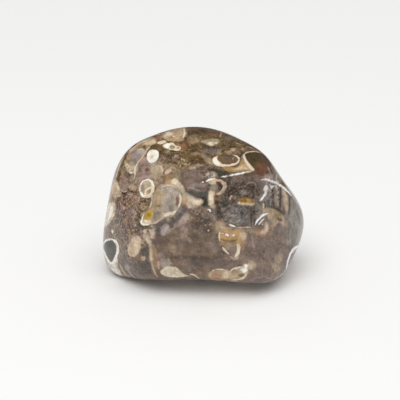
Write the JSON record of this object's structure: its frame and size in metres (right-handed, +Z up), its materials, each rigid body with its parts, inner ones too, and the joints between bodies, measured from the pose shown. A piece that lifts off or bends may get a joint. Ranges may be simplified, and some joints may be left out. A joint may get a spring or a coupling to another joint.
{
  "type": "turritella agate",
  "caption": "Tumbled brown agate pebble, polished all over and full of cut fossil snail shells, resting on its own flat foot.",
  "frame": {"origin": "middle of the stone's box at the level of its flat foot", "axes": "+Z up, +X to the right of the broken front, along the stone's longest side, -Y towards the front"},
  "size_m": [0.0446, 0.0368, 0.0335],
  "materials": {
    "polished_agate": "polished"
  },
  "bodies": {
    "root": {"stone": "polished_agate"}
  },
  "joints": []
}
